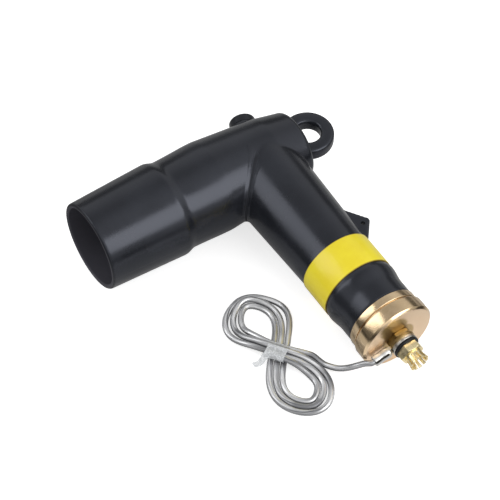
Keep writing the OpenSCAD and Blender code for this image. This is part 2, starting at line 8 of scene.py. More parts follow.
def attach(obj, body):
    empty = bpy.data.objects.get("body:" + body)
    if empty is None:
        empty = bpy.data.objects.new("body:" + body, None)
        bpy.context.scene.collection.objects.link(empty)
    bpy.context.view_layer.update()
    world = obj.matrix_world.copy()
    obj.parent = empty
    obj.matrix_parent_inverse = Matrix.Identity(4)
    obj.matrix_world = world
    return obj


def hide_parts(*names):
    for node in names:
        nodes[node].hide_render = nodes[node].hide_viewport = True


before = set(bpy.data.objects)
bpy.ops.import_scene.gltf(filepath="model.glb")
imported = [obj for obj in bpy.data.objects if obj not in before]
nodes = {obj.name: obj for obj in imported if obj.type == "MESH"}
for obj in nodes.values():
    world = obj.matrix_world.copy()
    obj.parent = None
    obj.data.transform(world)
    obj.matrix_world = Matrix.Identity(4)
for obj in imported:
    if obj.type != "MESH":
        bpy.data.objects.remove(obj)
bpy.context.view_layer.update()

# The part's sizes are in millimetres, and those along an arm are counted from the elbow's centre.
MM = 0.001

# The elbow lies tipped about X, on its cuff and on its end cap.
TILT = math.radians(2.4907)
ELBOW = Vector((36.2, 81.1699, 36.0)) * MM

# The bushing arm: closed back, shoulder, belly, waist, cuff and mouth
BACK_AT, BACK_R, BACK_ROUND = -36.5, 26.6, 5
SHOULDER_AT, SHOULDER_R = -12, 30.6
BELLY_AT, BELLY_R = 38, 35
WAIST_AT, WAIST_R = 70.5, 33.9
CUFF_AT, CUFF_R = 78.5, 36
MOUTH_AT, MOUTH_R, LIP_ROUND = 140, 33.5, 1.2
BORE_FROM, BORE_R = 120, 30
BUSHING_SLOPE = (BELLY_R - SHOULDER_R) / (BELLY_AT - SHOULDER_AT)
BUSHING_R = SHOULDER_R - BUSHING_SLOPE * SHOULDER_AT

# The arrester arm: its radius at the centre, the label's seat, the hem and the neck under the cap
ARM_R = 30.9
SEAT_FROM, SEAT_TO, SEAT_R = 101.5, 131.5, 27.2
HEM_AT, HEM_R = 135.5, 28
NECK_AT, NECK_R, ARM_END = 148, 26.4, 160
ARM_SLOPE = (ARM_R - SEAT_R) / SEAT_FROM
JACKET_WALL = 3.2

# The label, the cap's two rings and its face, and what is stacked on the face
LABEL_FROM, LABEL_TO, LABEL_R = 104.5, 131.5, 27.9
BACK_RING_FROM, BACK_RING_TO, BACK_RING_R = 160, 166, 26.9
FRONT_RING_FROM, FRONT_RING_R = 167.4, 28.3
FACE_AT, FACE_R = 179.3, 26.6
LUG_AT, LUG_THICK = 183, 2.2
WASHER_FROM, SEAL_FROM, COLLAR_FROM, COLLAR_TO = 185.2, 188.2, 190.2, 196.7
STUD_HOLE_R = 5.2

# The lug's barrel lies beside the palm, turned about the arm; its seam is turned about the barrel.
LUG_TURN = math.radians(13)
SEAM_TURN = math.radians(40)
BARREL_UP, BARREL_R, BARREL_END = 1.1, 4.0, 24

# The test point's seat on the elbow
TEST_SEAT_AT = 34.6

# Each of these turns a piece made upright round +Z onto its place on the elbow.
ON_ELBOW = Matrix.Translation(ELBOW) @ Matrix.Rotation(TILT, 4, "X")
ON_BUSHING_ARM = ON_ELBOW @ Matrix.Rotation(math.radians(-90), 4, "Y")
ON_ARRESTER_ARM = ON_ELBOW @ Matrix.Rotation(math.radians(90), 4, "X")
ON_TEST_POINT = (ON_ELBOW @ Matrix.Rotation(math.radians(-20), 4, "Z")
                 @ Matrix.Rotation(math.radians(-90), 4, "X"))


def deselect():
    """Leaves edit mode and lets go of everything."""
    if bpy.context.mode != "OBJECT":
        bpy.ops.object.mode_set(mode="OBJECT")
    bpy.ops.object.select_all(action="DESELECT")


def pick(*pieces):
    """Selects these pieces and makes the first one active."""
    deselect()
    for piece in pieces:
        piece.select_set(True)
    bpy.context.view_layer.objects.active = pieces[0]


# Camera

def aim_camera():
    """Sets up the long lens that looks down on the elbow from its open corner."""
    turn, rise = math.radians(-33.36), math.radians(51.85)
    distance, left_by, down_by = 1460.55, 3.38, 62.61
    back = Vector((math.sin(turn) * math.cos(rise), -math.cos(turn) * math.cos(rise), math.sin(rise)))
    right = Vector((math.cos(turn), math.sin(turn), 0))
    up = back.cross(right)
    place = ELBOW + (distance * back - left_by * right - down_by * up) * MM
    lens = bpy.data.cameras.new("studio_camera")
    lens.lens = 144
    lens.sensor_width = 36
    lens.clip_end = 20
    camera = bpy.data.objects.new("studio_camera", lens)
    bpy.context.scene.collection.objects.link(camera)
    camera.matrix_world = Matrix.Translation(place) @ Matrix((right, up, back)).transposed().to_4x4()
    bpy.context.scene.camera = camera


aim_camera()


# Shader nodes

def group(name, inputs, outputs):
    """Starts a shader group with its named sockets: (name, kind) for each."""
    made = bpy.data.node_groups.new(name, "ShaderNodeTree")
    for way, sockets in (("INPUT", inputs), ("OUTPUT", outputs)):
        for label, kind in sockets:
            made.interface.new_socket(label, in_out=way, socket_type="NodeSocket" + kind)
    return made, made.nodes.new("NodeGroupInput").outputs, made.nodes.new("NodeGroupOutput")


def feed(tree, value, socket):
    """Links a value's socket, or sets a number, a direction or a colour of three parts."""
    if isinstance(value, bpy.types.NodeSocket):
        tree.links.new(value, socket)
    elif socket.type == "RGBA":
        socket.default_value = (*value, 1)
    else:
        socket.default_value = value


def add(tree, kind, **settings):
    """Adds a node and sets its own properties."""
    node = tree.nodes.new("ShaderNode" + kind)
    for key, value in settings.items():
        setattr(node, key, value)
    return node


def wire(tree, node, **values):
    """Feeds a node's sockets by their names, and gives its outputs back."""
    for label, value in values.items():
        feed(tree, value, node.inputs[label.replace("_", " ")])
    return node.outputs


def mathnode(tree, operation, *values):
    """One Math node; sockets are linked and numbers are set."""
    node = add(tree, "Math", operation=operation)
    for value, socket in zip(values, node.inputs):
        feed(tree, value, socket)
    return node.outputs[0]


def times(tree, first, second):
    """One value times another."""
    return mathnode(tree, "MULTIPLY", first, second)


def times_plus(tree, first, second, third):
    """One value times another, and a third added."""
    return mathnode(tree, "MULTIPLY_ADD", first, second, third)


def minus(tree, first, second):
    """One value less another."""
    return mathnode(tree, "SUBTRACT", first, second)


def apart(tree, first, second):
    """How far two values are apart."""
    return mathnode(tree, "ABSOLUTE", minus(tree, first, second))


def largest(tree, first, *others):
    """The largest of some values."""
    for other in others:
        first = mathnode(tree, "MAXIMUM", first, other)
    return first


def length_of(tree, first, second):
    """Length of a flat vector from its two parts."""
    return mathnode(tree, "SQRT", times_plus(tree, first, first, times(tree, second, second)))


def spread(tree, value, low_in, high_in, low_out, high_out):
    """Smoothly maps one range of a value onto another."""
    return wire(tree, add(tree, "MapRange", interpolation_type="SMOOTHSTEP"), Value=value, From_Min=low_in,
                From_Max=high_in, To_Min=low_out, To_Max=high_out)["Result"]


def rising(tree, place, low, high):
    """A mask that rises from 0 to 1 between two places in millimetres."""
    return spread(tree, place, low * MM, high * MM, 0, 1)


def falling(tree, place, low, high):
    """A mask that falls from 1 to 0 between two places in millimetres."""
    return spread(tree, place, low * MM, high * MM, 1, 0)


def axes_of(tree, where):
    """The X, Y and Z parts of a place."""
    parts = add(tree, "SeparateXYZ")
    tree.links.new(where, parts.inputs[0])
    return [parts.outputs[label] for label in "XYZ"]


def blend(tree, mask, first, second):
    """A colour that goes from the first to the second as a mask rises."""
    node = add(tree, "Mix", data_type="RGBA")
    feed(tree, mask, node.inputs["Factor"])
    feed(tree, first, node.inputs[6])
    feed(tree, second, node.inputs[7])
    return node.outputs[2]


def noise(tree, where, scale, detail, roughness=0.5, distortion=0.0):
    """Cloudy noise in space."""
    return wire(tree, add(tree, "TexNoise"), Vector=where, Scale=scale, Detail=detail, Roughness=roughness,
                Distortion=distortion)["Fac"]


def noise_along(tree, place, detail):
    """Cloudy noise along a line, with one cloud to a unit of it."""
    texture = add(tree, "TexNoise", noise_dimensions="1D")
    return wire(tree, texture, W=place, Scale=1.0, Detail=detail)["Fac"]


def make_handled_finish():
    """Slow changes of tone and gloss, as handling and mould release leave them."""
    tree, given, result = group(
        "handled_finish",
        [("Vector", "Vector"), ("Scale", "Float"), ("Rough Low", "Float"), ("Rough High", "Float"),
         ("Dark", "Color"), ("Light", "Color")],
        [("Color", "Color"), ("Roughness", "Float"), ("Mask", "Float")])
    mask = spread(tree, noise(tree, given["Vector"], given["Scale"], 5, roughness=0.6), 0.35, 0.68, 0, 1)
    low, high = given["Rough Low"], given["Rough High"]
    rough = wire(tree, add(tree, "MapRange"), Value=mask, To_Min=low, To_Max=high)["Result"]
    wire(tree, result, Color=blend(tree, mask, given["Dark"], given["Light"]), Roughness=rough, Mask=mask)
    return tree


def make_mould_grain():
    """Height of the fine grain that a mould's wall leaves, with a few larger flow marks."""
    tree, given, result = group(
        "mould_grain",
        [("Vector", "Vector"), ("Grain Scale", "Float"), ("Flow Scale", "Float"), ("Flow Share", "Float")],
        [("Height", "Float")])
    fine = noise(tree, given["Vector"], given["Grain Scale"], 2)
    flow = noise(tree, given["Vector"], given["Flow Scale"], 3)
    wire(tree, result, Height=times_plus(tree, flow, given["Flow Share"], fine))
    return tree


def make_turning_marks():
    """Height of the fine rings that a lathe leaves round a part's own axis, on its faces and its rims."""
    tree, given, result = group("turning_marks", [("Vector", "Vector")], [("Height", "Float")])
    pitch = 0.5 * MM
    clouds_per_ring = 0.37
    x, y, z = axes_of(tree, given["Vector"])
    travel = mathnode(tree, "ADD", length_of(tree, x, y), z)
    steps = mathnode(tree, "DIVIDE", travel, pitch)
    wave = mathnode(tree, "SINE", times(tree, steps, 2 * math.pi))
    uneven = noise_along(tree, times(tree, steps, clouds_per_ring), 3)
    wire(tree, result, Height=times(tree, wave, uneven))
    return tree


HANDLED_FINISH = make_handled_finish()
MOULD_GRAIN = make_mould_grain()
TURNING_MARKS = make_turning_marks()


def place_group(tree, made, **values):
    """Puts a shader group into a material with its own values."""
    return wire(tree, add(tree, "Group", node_tree=made), **values)


def handled(tree, where, scale, rough, dark, light):
    """The handled finish with a range of gloss and two tones."""
    low, high = rough
    return place_group(tree, HANDLED_FINISH, Vector=where, Scale=scale, Rough_Low=low, Rough_High=high,
                       Dark=dark, Light=light)


def own_place(tree, matrix=None):
    """Object coordinates, turned into a piece's own upright frame where a matrix is given."""
    where = add(tree, "TexCoord").outputs["Object"]
    if matrix is None:
        return where
    mapping = add(tree, "Mapping", vector_type="TEXTURE")
    mapping.inputs["Location"].default_value = matrix.to_translation()
    mapping.inputs["Rotation"].default_value = matrix.to_euler("XYZ")
    tree.links.new(where, mapping.inputs["Vector"])
    return mapping.outputs["Vector"]


def material(name, metallic=0.0, specular=0.5, coat=0.0, coat_roughness=0.1, tint=(1, 1, 1)):
    """A new material with its shader's plain numbers set."""
    made = bpy.data.materials.new(name)
    made.use_nodes = True
    shader = made.node_tree.nodes["Principled BSDF"]
    wire(made.node_tree, shader, Metallic=metallic, Specular_IOR_Level=specular, Specular_Tint=tint,
         Coat_Weight=coat, Coat_Roughness=coat_roughness)
    return made, made.node_tree, shader


def paint(tree, shader, colour, roughness):
    """Feeds the shader's colour and gloss."""
    wire(tree, shader, Base_Color=colour, Roughness=roughness)


def bump(tree, shader, height, strength, distance):
    """Feeds a height into the shader's normal, its distance in millimetres."""
    made = wire(tree, add(tree, "Bump"), Height=height, Strength=strength, Distance=distance * MM)
    wire(tree, shader, Normal=made["Normal"])


def turning_bump(tree, shader, where, strength=0.25):
    """Feeds the rings of the lathe into the shader's normal."""
    bump(tree, shader, place_group(tree, TURNING_MARKS, Vector=where)["Height"], strength, 0.03)


# Materials

COOL_SHEEN = (0.82, 0.86, 1)
METAL_CLOUDS = 120.0


def rubber(name, dark, light, rough):
    """Moulded rubber with its grain and its uneven gloss."""
    made, tree, shader = material(name, specular=0.4, tint=COOL_SHEEN)
    where = own_place(tree)
    finish = handled(tree, where, 28.0, rough, dark, light)
    paint(tree, shader, finish["Color"], finish["Roughness"])
    grain = place_group(tree, MOULD_GRAIN, Vector=where, Grain_Scale=2200.0, Flow_Scale=70.0, Flow_Share=1.2)
    bump(tree, shader, grain["Height"], 0.35, 0.06)
    return made


def metal(name, dark, light, rough, axis):
    """Turned metal with the rings of the lathe round its own axis."""
    made, tree, shader = material(name, metallic=1.0)
    where = own_place(tree, axis)
    finish = handled(tree, where, METAL_CLOUDS, rough, dark, light)
    paint(tree, shader, finish["Color"], finish["Roughness"])
    turning_bump(tree, shader, where)
    return made


def moulded(name, dark, light, rough, scale):
    """A plain moulded, fired or wound stuff with its own grain."""
    made, tree, shader = material(name)
    where = own_place(tree)
    finish = handled(tree, where, scale, rough, dark, light)
    paint(tree, shader, finish["Color"], finish["Roughness"])
    grain = place_group(tree, MOULD_GRAIN, Vector=where, Grain_Scale=1500.0, Flow_Scale=scale, Flow_Share=0.4)
    bump(tree, shader, grain["Height"], 0.3, 0.08)
    return made


def make_cap_brass():
    """Polished brass on the rings; the face is satin, and browner round the nut and in a ragged patch to one
    side of it.
    """
    made, tree, shader = material("polished_brass", metallic=1.0)
    where = own_place(tree, ON_ARRESTER_ARM)
    finish = handled(tree, where, METAL_CLOUDS, (0.14, 0.21), (0.72, 0.54, 0.33), (0.80, 0.61, 0.39))
    satin, brown = (0.90, 0.69, 0.48), (0.53, 0.38, 0.18)
    side_patch_x, side_patch_y, ragged_by = -4.5, 13, 2
    x, y, z = axes_of(tree, where)
    face = rising(tree, z, FACE_AT - 0.4, FACE_AT - 0.1)
    # The face turns browner in a ragged patch to one side of the nut and in a ring round it.
    off_side_patch = length_of(tree, minus(tree, x, side_patch_x * MM), minus(tree, y, side_patch_y * MM))
    side_patch = falling(tree, times_plus(tree, finish["Mask"], ragged_by * MM, off_side_patch), 10.5, 13.5)
    round_nut = falling(tree, length_of(tree, x, y), 11.8, 13.8)
    browned_face = times(tree, face, largest(tree, side_patch, round_nut))
    colour = blend(tree, browned_face, blend(tree, face, finish["Color"], satin), brown)
    paint(tree, shader, colour, times_plus(tree, face, 0.2, finish["Roughness"]))
    turning_bump(tree, shader, where)
    return made


def turned_axes(tree, first, second, angle):
    """Two parts of a place after a turn by an angle."""
    cosine, sine = math.cos(angle), math.sin(angle)
    along = times_plus(tree, first, cosine, times(tree, second, sine))
    aside = times_plus(tree, first, -sine, times(tree, second, cosine))
    return along, aside


def make_lug_tin():
    """Tin on the barrel, brown where the ring is clamped, and darkened by painted shade down in the barrel's
    seam.
    """
    made, tree, shader = material("tinned_copper", metallic=1.0)
    where = own_place(tree, ON_ARRESTER_ARM)
    finish = handled(tree, where, METAL_CLOUDS, (0.34, 0.48), (0.62, 0.62, 0.61), (0.76, 0.76, 0.74))
    # The dark colour is painted shade for the barrel's seam.
    brown, seam_shade = (0.34, 0.24, 0.10), (0.12, 0.115, 0.105)
    x, y, z = axes_of(tree, where)
    ring = falling(tree, length_of(tree, x, y), 9.6, 11.2)
    along, aside = turned_axes(tree, x, y, math.pi + LUG_TURN)
    above = minus(tree, z, (LUG_AT + BARREL_UP) * MM)
    off_seam, outward = turned_axes(tree, aside, above, SEAM_TURN)
    narrow = falling(tree, mathnode(tree, "ABSOLUTE", off_seam), 0.7, 1.1)
    outside = times(tree, rising(tree, outward, 1.5, 2.0), rising(tree, along, 12.6, 13.2))
    colour = blend(tree, ring, finish["Color"], brown)
    # Painted shade: the outer part of the barrel's seam is darkened.
    colour = blend(tree, times(tree, outside, narrow), colour, seam_shade)
    paint(tree, shader, colour, finish["Roughness"])
    turning_bump(tree, shader, where, 0.15)
    return made


def make_jacket_rubber():
    """The jacket's rubber: a pinched line in the crease darkened by painted shade, the parting line, a dull
    rim darkened by painted shade and a bore made paler by painted light.
    """
    made, tree, shader = material("jacket_rubber", specular=0.54, tint=COOL_SHEEN)
    where = own_place(tree)
    finish = handled(tree, where, 24.0, (0.17, 0.24), (0.011, 0.012, 0.015), (0.017, 0.0185, 0.023))
    grain = place_group(tree, MOULD_GRAIN, Vector=where, Grain_Scale=2400.0, Flow_Scale=60.0, Flow_Share=1.6)
    # Painted shade for the crease and the rim at the mouth, and painted light for the bore.
    crease_and_rim_shade, bore_fill_light = (0.002, 0.002, 0.003), (0.046, 0.044, 0.054)
    x, y, z = axes_of(tree, own_place(tree, ON_ELBOW))
    off_axis = length_of(tree, y, z)
    off_bushing_arm = minus(tree, off_axis, times_plus(tree, x, -BUSHING_SLOPE, BUSHING_R * MM))
    off_arrester_arm = minus(tree, length_of(tree, x, z), times_plus(tree, y, ARM_SLOPE, ARM_R * MM))
    beside = apart(tree, off_arrester_arm, off_bushing_arm)
    inner = times(tree, falling(tree, x, -10, -4), falling(tree, y, -4, -2))
    # Painted shade: the crease where the arms meet is darkened; the same mask also sinks a groove there in
    # the bump.
    groove = times(tree, falling(tree, beside, 0.4, 1.4), inner)
    lip = times(tree, falling(tree, apart(tree, beside, 2.4 * MM), 0.2, 1.2), inner)
    parting = falling(tree, mathnode(tree, "ABSOLUTE", z), 0.1, 0.4)
    # Painted shade: the rim at the mouth is darkened; it is also rougher.
    rim = times(tree, falling(tree, x, 0.9 - MOUTH_AT, 1.8 - MOUTH_AT), 0.6)
    # Painted light: the bore inside the mouth is painted paler than the outer rubber; it is also rougher.
    bore = times(tree, falling(tree, off_axis, 31.8, 32.4), falling(tree, x, 4 - BORE_FROM, 8 - BORE_FROM))
    colour = blend(tree, largest(tree, groove, rim), finish["Color"], crease_and_rim_shade)
    dull = largest(tree, groove, rim, bore)
    paint(tree, shader, blend(tree, bore, colour, bore_fill_light), times_plus(tree, dull, 0.4, finish["Roughness"]))
    height = grain["Height"]
    for mask, rise in ((parting, 1.5), (lip, 4.0), (groove, -8.0)):
        height = times_plus(tree, mask, rise, height)
    bump(tree, shader, height, 0.4, 0.08)
    return made


def make_label_film():
    """Yellow film under a clear gloss, with painted shade: brown along its edges and orange towards its lower
    side.
    """
    made, tree, shader = material("label_film", coat=0.4, coat_roughness=0.14)
    where = own_place(tree, ON_ARRESTER_ARM)
    finish = handled(tree, where, 60.0, (0.36, 0.48), (0.90, 0.73, 0.012), (0.95, 0.80, 0.018))
    # Both colours are painted shade: orange towards the band's lower side, by height above the ground, and
    # brown along its edges.
    orange_lower_shade, brown = (0.80, 0.46, 0.02), (0.30, 0.19, 0.012)
    height = axes_of(tree, own_place(tree))[2]
    low = times(tree, falling(tree, height, 8, 34), 0.8)
    # Painted shade: brown along both edges of the band.
    off_middle = apart(tree, axes_of(tree, where)[2], (LABEL_FROM + LABEL_TO) / 2 * MM)
    half = (LABEL_TO - LABEL_FROM) / 2
    edge = rising(tree, off_middle, half - 0.9, half + 0.1)
    colour = blend(tree, edge, blend(tree, low, finish["Color"], orange_lower_shade), brown)
    paint(tree, shader, colour, finish["Roughness"])
    bump(tree, shader, noise(tree, where, 55, 2), 0.25, 0.6)
    return made


def make_braid():
    """Tinned strands under a clear jacket; painted shade darkens the sides and underside of the lead, so only
    its top stays light.
    """
    made, tree, shader = material("tinned_braid", metallic=0.6, coat=0.6, coat_roughness=0.12)
    twist_per_metre, clouds_per_metre = 40.0, 26.0
    strand_r, stretch = 2.2 * MM, 0.045
    grey, bright, side_shade_colour = (0.42, 0.425, 0.44), (0.94, 0.945, 0.96), (0.075, 0.077, 0.085)
    u, along = axes_of(tree, add(tree, "UVMap", uv_map=ALONG_LEAD).outputs["UV"])[:2]
    around = times(tree, u, 2 * math.pi)
    lay = times_plus(tree, along, twist_per_metre, around)
    spot = add(tree, "CombineXYZ")
    for socket, value in zip(spot.inputs, (times(tree, mathnode(tree, "COSINE", lay), strand_r),
                                           times(tree, mathnode(tree, "SINE", lay), strand_r),
                                           times(tree, along, stretch))):
        feed(tree, value, socket)
    streak = noise(tree, spot.outputs[0], 620, 2)
    slow = noise_along(tree, times(tree, along, clouds_per_metre), 2)
    # Painted shade: darker down the lead's sides and underside, by the angle round it.
    side_shade = spread(tree, mathnode(tree, "SINE", around), 0.05, 0.85, 0.82, 0)
    split = spread(tree, streak, 0.30, 0.37, 1, 0)
    dull = spread(tree, slow, 0.48, 0.7, 0, 0.66)
    strands = blend(tree, spread(tree, streak, 0.36, 0.62, 0, 1), grey, bright)
    colour = blend(tree, largest(tree, side_shade, split, dull), strands, side_shade_colour)
    paint(tree, shader, colour, spread(tree, streak, 0.3, 0.6, 0.46, 0.26))
    bump(tree, shader, streak, 0.4, 0.4)
    return made


def make_clear_film():
    """Thin clear film of the tie, milky where it is creased."""
    made, tree, shader = material("clear_film")
    crease = noise(tree, own_place(tree), 420, 4, distortion=1.2)
    paint(tree, shader, (0.86, 0.88, 0.90), spread(tree, crease, 0.3, 0.7, 0.12, 0.35))
    wire(tree, shader, Alpha=spread(tree, crease, 0.35, 0.75, 0.35, 0.8))
    bump(tree, shader, crease, 0.5, 0.4)
    return made


ALONG_LEAD = "along_lead"
JACKET = make_jacket_rubber()
CAP_RUBBER = rubber("cap_rubber", (0.010, 0.010, 0.012), (0.015, 0.016, 0.019), (0.26, 0.34))
LINING = rubber("lining_rubber", (0.040, 0.038, 0.047), (0.052, 0.050, 0.060), (0.46, 0.56))
INSERT = rubber("insert_rubber", (0.008, 0.008, 0.009), (0.013, 0.013, 0.014), (0.5, 0.6))
SEAL = rubber("seal_rubber", (0.005, 0.005, 0.005), (0.009, 0.009, 0.009), (0.45, 0.55))
BRASS = make_cap_brass()
NUT_BRASS = metal("dull_brass", (0.34, 0.24, 0.10), (0.44, 0.32, 0.14), (0.26, 0.36), ON_ARRESTER_ARM)
GOLD = metal("pale_gilt", (0.86, 0.73, 0.42), (0.95, 0.83, 0.54), (0.24, 0.34), ON_ARRESTER_ARM)
TINNED = metal("plated_washer", (0.52, 0.50, 0.46), (0.68, 0.66, 0.62), (0.24, 0.36), ON_ARRESTER_ARM)
LUG_TIN = make_lug_tin()
COPPER = metal("bare_copper", (0.58, 0.27, 0.16), (0.70, 0.36, 0.23), (0.25, 0.36), ON_BUSHING_ARM)
SPRING_STEEL = metal("spring_steel", (0.38, 0.38, 0.39), (0.5, 0.5, 0.51), (0.3, 0.42), ON_ARRESTER_ARM)
ALUMINIUM = metal("turned_aluminium", (0.66, 0.67, 0.68), (0.78, 0.79, 0.8), (0.28, 0.4), ON_ARRESTER_ARM)
LABEL = make_label_film()
BRAID = make_braid()
FILM = make_clear_film()
CERAMIC = moulded("fired_ceramic", (0.05, 0.052, 0.056), (0.085, 0.088, 0.093), (0.5, 0.65), 300.0)
GLASS_FIBRE = moulded("wound_glass_fibre", (0.42, 0.33, 0.14), (0.55, 0.45, 0.22), (0.4, 0.55), 180.0)
FOLLOWER = moulded("white_follower", (0.66, 0.60, 0.47), (0.76, 0.70, 0.57), (0.38, 0.48), 90.0)


# Making tools

def done(piece, stuff, slot_name, *replaced, smooth=35.0):
    """Gives a finished piece its finish and its body, and hides the nodes that it stands for; the slot's name
    is not used.
    """
    pick(piece)
    bpy.ops.object.shade_smooth_by_angle(angle=math.radians(smooth))
    piece.data.materials.clear()
    piece.data.materials.append(stuff)
    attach(piece, "root")
    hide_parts(*replaced)
    deselect()
    return piece


def apply_place(piece):
    """Fixes a piece's place, turn and size into its mesh."""
    pick(piece)
    bpy.ops.object.transform_apply(location=True, rotation=True, scale=True)


def settle(piece, axis):
    """Moves a piece from its upright making place to its place on the elbow."""
    piece.matrix_world = axis @ piece.matrix_world
    apply_place(piece)


def close_rim(piece, z):
    """Fills the open rim that lies at a height in metres."""
    bpy.ops.object.mode_set(mode="EDIT")
    bpy.ops.mesh.select_all(action="DESELECT")
    bpy.ops.object.mode_set(mode="OBJECT")
    for vertex in piece.data.vertices:
        vertex.select = abs(vertex.co.z - z) < 1e-7
    bpy.ops.object.mode_set(mode="EDIT")
    bpy.ops.mesh.edge_face_add()


def face_outwards():
    """Turns every face of the piece in edit mode outwards, and leaves edit mode."""
    bpy.ops.mesh.select_all(action="SELECT")
    bpy.ops.mesh.normals_make_consistent(inside=False)
    bpy.ops.object.mode_set(mode="OBJECT")


def lathe(name, stations, sides, axis=None, ring=False):
    """Pulls a circle along +Z through (height, radius) stations; its ends or a ring close it."""
    z, r = stations[0]
    deselect()
    bpy.ops.mesh.primitive_circle_add(
        vertices=sides, radius=r * MM, fill_type="NOTHING", location=(0, 0, z * MM))
    piece = bpy.context.object
    piece.name = name
    apply_place(piece)
    bpy.ops.object.mode_set(mode="EDIT")
    bpy.ops.mesh.select_all(action="SELECT")
    for next_z, next_r in stations[1:] + ([stations[0]] if ring else []):
        bpy.ops.mesh.extrude_edges_move(TRANSFORM_OT_translate={"value": (0, 0, (next_z - z) * MM)})
        if next_r != r:
            k = next_r / r
            bpy.ops.transform.resize(value=(k, k, 1), center_override=(0, 0, next_z * MM))
        z, r = next_z, next_r
    if ring:
        bpy.ops.mesh.select_all(action="SELECT")
        bpy.ops.mesh.remove_doubles(threshold=1e-6)
    else:
        close_rim(piece, stations[0][0] * MM)
        close_rim(piece, stations[-1][0] * MM)
    face_outwards()
    if axis is not None:
        settle(piece, axis)
    return piece


def ease(t):
    """A smooth rise from 0 to 1."""
    return t * t * (3 - 2 * t)


def eased(value):
    """The smooth rise, held at 0 before it and at 1 after it."""
    return ease(min(1.0, max(0.0, value)))


def stepped(z0, r0, z1, r1, count):
    """Stations of a smooth step between two radii, without the first one."""
    return [(z0 + (z1 - z0) * i / count, r0 + (r1 - r0) * ease(i / count)) for i in range(1, count + 1)]


def rounded(z, r, radius, start, end, count):
    """Stations of an arc round a point, its angles in degrees."""
    turns = [math.radians(start + (end - start) * i / count) for i in range(count + 1)]
    return [(z + radius * math.cos(a), r + radius * math.sin(a)) for a in turns]


def back_edge(z, r, radius, count):
    """Stations of a rounded outer edge at the back of a ring."""
    return rounded(z + radius, r - radius, radius, 180, 90, count)


def front_edge(z, r, radius, count):
    """Stations of a rounded outer edge at the front of a ring."""
    return rounded(z - radius, r - radius, radius, 90, 0, count)


def apply_modifier(piece, kind, **settings):
    """Adds a modifier, sets it and applies it."""
    pick(piece)
    modifier = piece.modifiers.new(kind.lower(), kind)
    for key, value in settings.items():
        setattr(modifier, key, value)
    bpy.ops.object.modifier_apply(modifier=modifier.name)


def ease_edges(piece, width, over):
    """Rounds the edges of a piece that are sharper than an angle in degrees."""
    apply_modifier(piece, "BEVEL", width=width * MM, segments=2, limit_method="ANGLE",
                   angle_limit=math.radians(over))


def cut(piece, cutter, operation="DIFFERENCE", **settings):
    """Cuts a piece with another one, which is then thrown away."""
    apply_modifier(piece, "BOOLEAN", operation=operation, object=cutter, solver="EXACT", **settings)
    bpy.data.objects.remove(cutter)


def join(*pieces):
    """Joins pieces into the first one."""
    pick(*pieces)
    bpy.ops.object.join()
    return bpy.context.object


def plate(name, outline, low, high):
    """A flat plate from an outline, pulled up from one height to another."""
    deselect()
    bpy.ops.mesh.primitive_circle_add(vertices=len(outline), radius=0.01, fill_type="NGON")
    piece = bpy.context.object
    piece.name = name
    for vertex, (x, y) in zip(piece.data.vertices, outline):
        vertex.co = (x * MM, y * MM, low * MM)
    bpy.ops.object.mode_set(mode="EDIT")
    bpy.ops.mesh.select_all(action="SELECT")
    bpy.ops.mesh.extrude_region_move(TRANSFORM_OT_translate={"value": (0, 0, (high - low) * MM)})
    bpy.ops.object.mode_set(mode="OBJECT")
    if len(piece.data.polygons) == len(outline) + 1:
        close_rim(piece, low * MM)
    else:
        bpy.ops.object.mode_set(mode="EDIT")
    face_outwards()
    return piece


def round_bar(name, path, radius):
    """A round bar along a path in metres, from a curve that is made a mesh."""
    deselect()
    bpy.ops.curve.primitive_bezier_curve_add()
    bar = bpy.context.object
    bar.name = name
    line = bar.data
    line.splines.clear()
    spline = line.splines.new("POLY")
    spline.points.add(len(path) - 1)
    for point, spot in zip(spline.points, path):
        point.co = (spot.x, spot.y, spot.z, 1)
    line.bevel_depth = radius * MM
    line.bevel_resolution = 3
    line.use_fill_caps = True
    bpy.ops.object.convert(target="MESH")
    return bpy.context.object


def tube(name, path, radius, sides):
    """A round tube along a path in metres, with a UV map whose V runs along it in metres."""
    verts, faces, coords = [], [], []
    travelled = 0.0
    for i, point in enumerate(path):
        ahead = path[min(i + 1, len(path) - 1)] - path[max(i - 1, 0)]
        ahead.normalize()
        side = Vector((0, 0, 1)).cross(ahead).normalized()
        rise = ahead.cross(side)
        if i:
            travelled += (point - path[i - 1]).length
        for k in range(sides + 1):
            a = 2 * math.pi * k / sides
            if k < sides:
                verts.append(point + radius * MM * (math.cos(a) * side + math.sin(a) * rise))
            coords.append((k / sides, travelled))
    for i in range(len(path) - 1):
        for k in range(sides):
            n = (k + 1) % sides
            faces.append((i * sides + k, i * sides + n, (i + 1) * sides + n, (i + 1) * sides + k))
    last = (len(path) - 1) * sides
    faces.append(tuple(range(sides - 1, -1, -1)))
    faces.append(tuple(last + k for k in range(sides)))
    mesh = bpy.data.meshes.new(name)
    mesh.from_pydata(verts, [], faces)
    layer = mesh.uv_layers.new(name=ALONG_LEAD)
    for face in mesh.polygons[:-2]:
        i, k = divmod(face.index, sides)
        near_ring = i * (sides + 1) + k
        far_ring = near_ring + sides + 1
        corners = (near_ring, near_ring + 1, far_ring + 1, far_ring)
        for loop, corner in zip(face.loop_indices, corners):
            layer.data[loop].uv = coords[corner]
    piece = bpy.data.objects.new(name, mesh)
    bpy.context.scene.collection.objects.link(piece)
    return piece


# Earth lead

LEAD_D = 4.4
LEAD_PITCH = 4.7
BARREL_WAY = Vector((-math.cos(LUG_TURN), 0, -math.sin(LUG_TURN)))
LEAD_WAY = (ON_ELBOW.to_3x3() @ BARREL_WAY).normalized()
LEAD_EXIT = (ON_ELBOW @ ((BARREL_END * BARREL_WAY + Vector((0, -LUG_AT - BARREL_UP, 0))) * MM)) / MM

